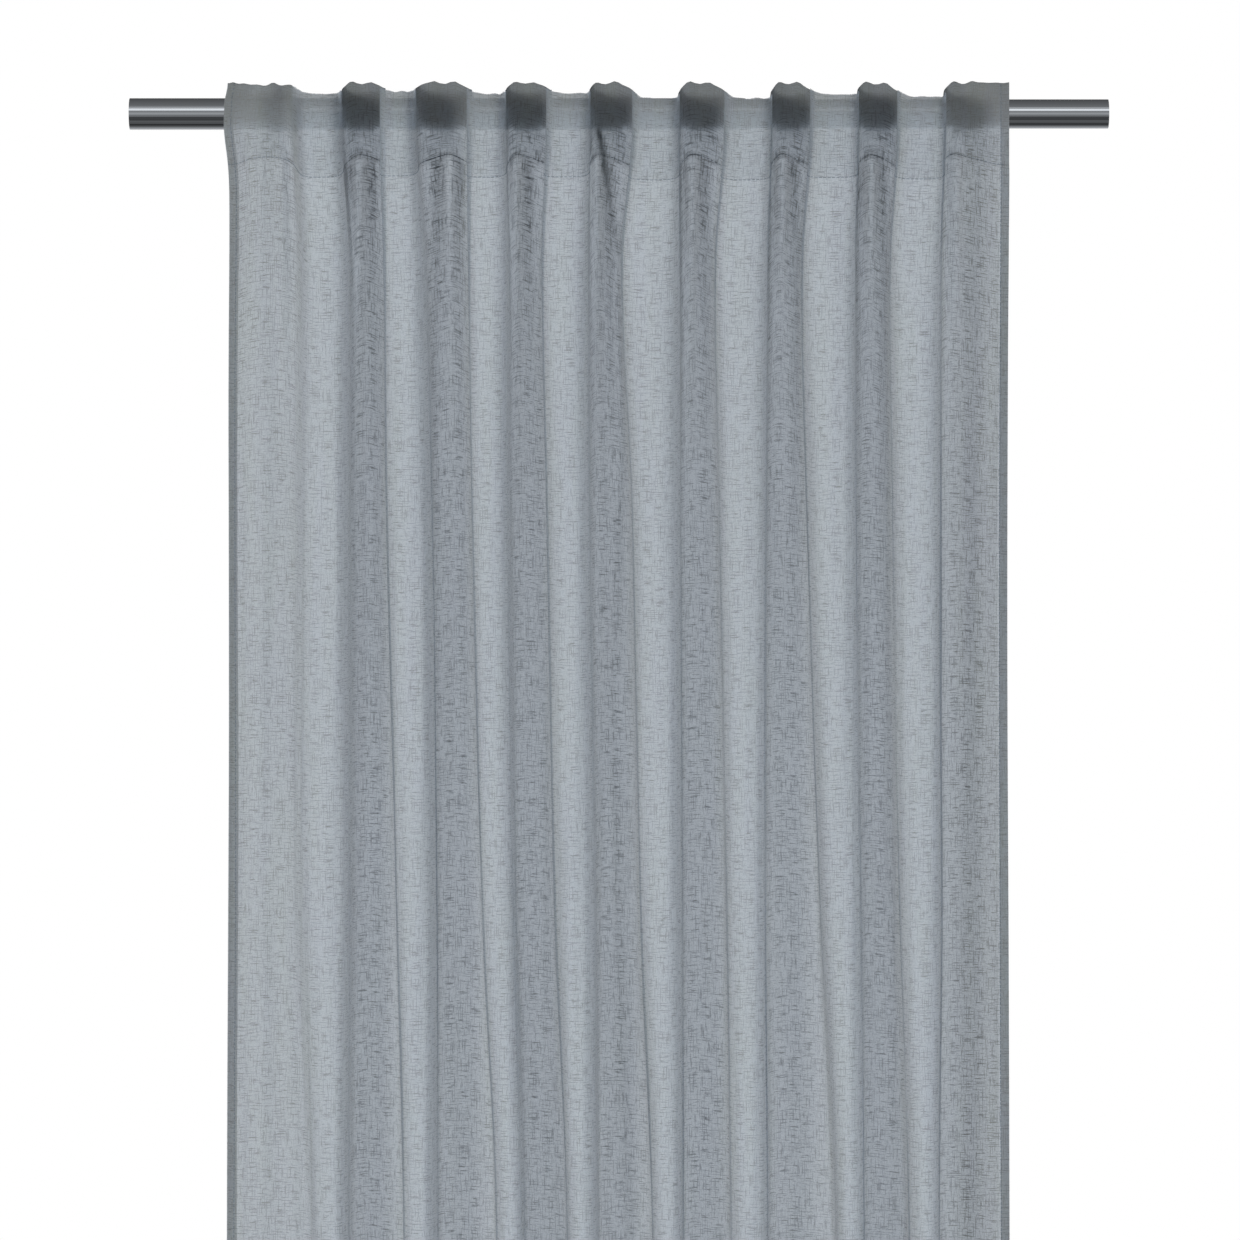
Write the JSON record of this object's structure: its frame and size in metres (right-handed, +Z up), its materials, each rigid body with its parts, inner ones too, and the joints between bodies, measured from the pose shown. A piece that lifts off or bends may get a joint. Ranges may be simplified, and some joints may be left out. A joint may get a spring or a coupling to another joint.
{
  "type": "window curtain on a telescopic rod",
  "caption": "Semi-sheer linen-look curtain panel hung in soft folds by hidden back loops on a plain telescopic steel rod.",
  "frame": {"origin": "on the rod's axis, midway between its two ends", "axes": "+X along the rod to the right as seen from the room, -Y towards the room, +Z up"},
  "size_m": [0.875, 0.0961, 2.418],
  "materials": {
    "rod_steel": "satin, drawn tube",
    "plug_nylon": "moulded, matt",
    "curtain_cloth": "semi-sheer slubbed linen-look plain weave",
    "loop_webbing": "woven polyester tape"
  },
  "bodies": {
    "rod": {"rod_outer_tube": "rod_steel", "end_plug_left": "plug_nylon"},
    "rod_extension": {"rod_inner_tube": "rod_steel", "end_plug_right": "plug_nylon", "glide_collar": "plug_nylon"},
    "curtain": {"curtain_panel": "curtain_cloth", "heading_turnover": "curtain_cloth", "heading_tape": "loop_webbing", "side_hem_left": "curtain_cloth", "side_hem_right": "curtain_cloth", "bottom_hem": "curtain_cloth", "back_loop_1": "loop_webbing"},
    "loop_2": {"back_loop_2": "loop_webbing"},
    "loop_3": {"back_loop_3": "loop_webbing"},
    "loop_4": {"back_loop_4": "loop_webbing"},
    "loop_5": {"back_loop_5": "loop_webbing"},
    "loop_6": {"back_loop_6": "loop_webbing"},
    "loop_7": {"back_loop_7": "loop_webbing"},
    "loop_8": {"back_loop_8": "loop_webbing"},
    "leading_loop": {"back_loop_9": "loop_webbing"}
  },
  "joints": [
    {"name": "telescope", "type": "slide", "parent": "rod", "child": "rod_extension", "axis": [1, 0, 0], "range_m": [0, 0.165]},
    {"name": "shift", "type": "slide", "parent": "rod", "child": "curtain", "axis": [1, 0, 0], "range_m": [-0.08, 0.08]},
    {"name": "draw", "type": "slide", "parent": "curtain", "child": "leading_loop", "axis": [-1, 0, 0], "range_m": [0, 0.3648], "deforming": ["curtain_panel", "heading_turnover", "heading_tape", "side_hem_left", "side_hem_right", "bottom_hem"]},
    {"name": "follow_2", "type": "slide", "parent": "curtain", "child": "loop_2", "axis": [-1, 0, 0], "range_m": [0, 0.0416]},
    {"name": "follow_3", "type": "slide", "parent": "curtain", "child": "loop_3", "axis": [-1, 0, 0], "range_m": [0, 0.0848]},
    {"name": "follow_4", "type": "slide", "parent": "curtain", "child": "loop_4", "axis": [-1, 0, 0], "range_m": [0, 0.1304]},
    {"name": "follow_5", "type": "slide", "parent": "curtain", "child": "loop_5", "axis": [-1, 0, 0], "range_m": [0, 0.1748]},
    {"name": "follow_6", "type": "slide", "parent": "curtain", "child": "loop_6", "axis": [-1, 0, 0], "range_m": [0, 0.224]},
    {"name": "follow_7", "type": "slide", "parent": "curtain", "child": "loop_7", "axis": [-1, 0, 0], "range_m": [0, 0.2714]},
    {"name": "follow_8", "type": "slide", "parent": "curtain", "child": "loop_8", "axis": [-1, 0, 0], "range_m": [0, 0.3182]}
  ],
  "couplings": [
    {"joint": "follow_2", "follows": "draw", "ratio": 0.11349},
    {"joint": "follow_3", "follows": "draw", "ratio": 0.23191},
    {"joint": "follow_4", "follows": "draw", "ratio": 0.35691},
    {"joint": "follow_5", "follows": "draw", "ratio": 0.47862},
    {"joint": "follow_6", "follows": "draw", "ratio": 0.61349},
    {"joint": "follow_7", "follows": "draw", "ratio": 0.74342},
    {"joint": "follow_8", "follows": "draw", "ratio": 0.87171}
  ]
}
